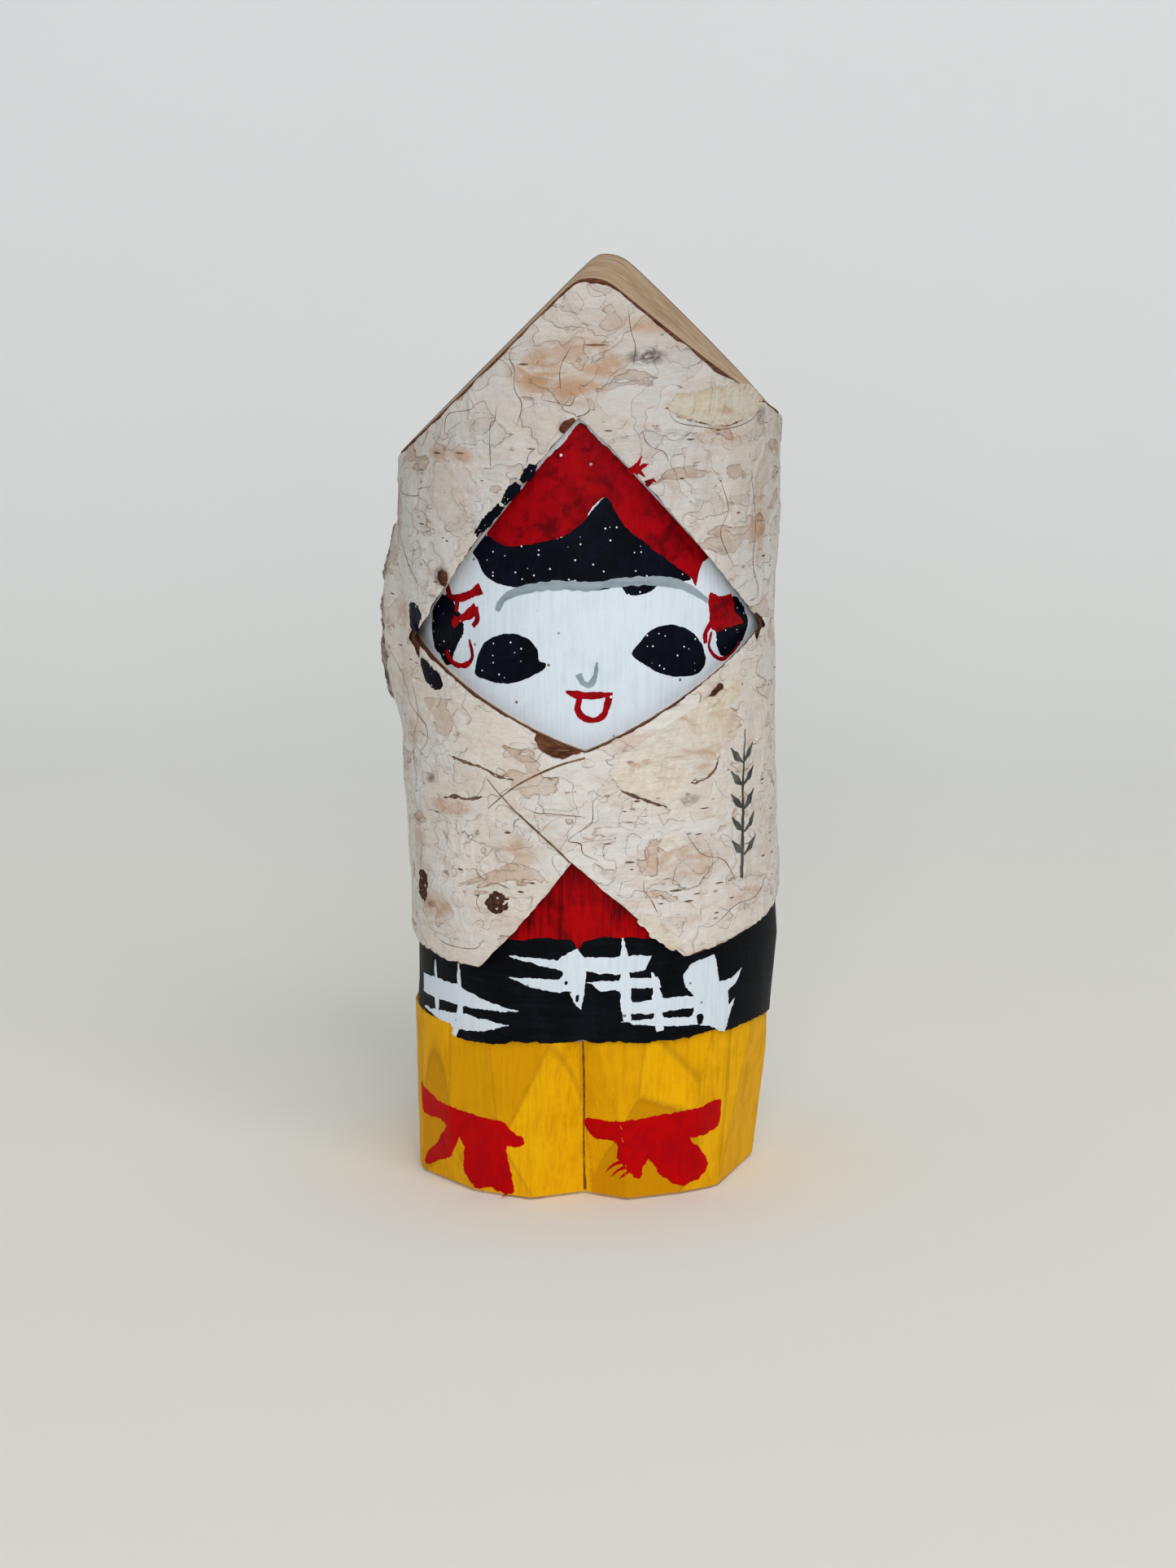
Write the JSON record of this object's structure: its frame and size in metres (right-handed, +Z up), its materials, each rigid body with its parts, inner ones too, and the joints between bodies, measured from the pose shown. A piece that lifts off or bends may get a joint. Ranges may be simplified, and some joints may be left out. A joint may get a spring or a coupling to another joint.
{
  "type": "carved log doll",
  "caption": "Hooded child carved from a short birch log, with the bark left on as hood and cape and the face, coat, skirt and boots painted on bare wood.",
  "frame": {"origin": "middle of the flat base, on the log's axis", "axes": "+Z up along the log; the face looks along -Y; +X is on the right of someone who faces the doll"},
  "size_m": [0.0842, 0.08, 0.19],
  "materials": {
    "log_wood": "bare chiselled birch, matt",
    "inner_bark": "dark red-brown, fibrous, matt",
    "outer_bark": "papery white birch bark with tan stains and dark lenticels, matt",
    "rough_bark": "craggy grey-brown bark, matt",
    "knot_wood": "dark corky knot, matt",
    "white_paint": "chalky brushed white",
    "black_paint": "blue-black brushed poster paint, slight sheen",
    "red_paint": "crimson brushed poster paint, slight sheen",
    "yellow_paint": "warm yellow brushed poster paint",
    "bow_paint": "dry-brushed brick red",
    "grey_paint": "thin grey wash",
    "ink": "soaked-in grey ink"
  },
  "bodies": {
    "root": {"carved_log": "log_wood", "inner_bark": "inner_bark", "outer_bark": "outer_bark", "swelling_bark": "rough_bark", "bark_knots": "knot_wood", "face_white": "white_paint", "scarf_red": "red_paint", "hair_black": "black_paint", "side_hair_left": "black_paint", "side_hair_right": "black_paint", "ribbon_left": "red_paint", "ribbon_right": "red_paint", "brow_line": "grey_paint", "eye_left": "black_paint", "eye_right": "black_paint", "nose_line": "grey_paint", "mouth_line": "red_paint", "coat_red": "red_paint", "skirt_black": "black_paint", "skirt_pattern": "white_paint", "boots_yellow": "yellow_paint", "bow_left": "bow_paint", "bow_right": "bow_paint", "ink_sprig": "ink", "overrun_black": "black_paint", "overrun_red": "red_paint"}
  },
  "joints": []
}
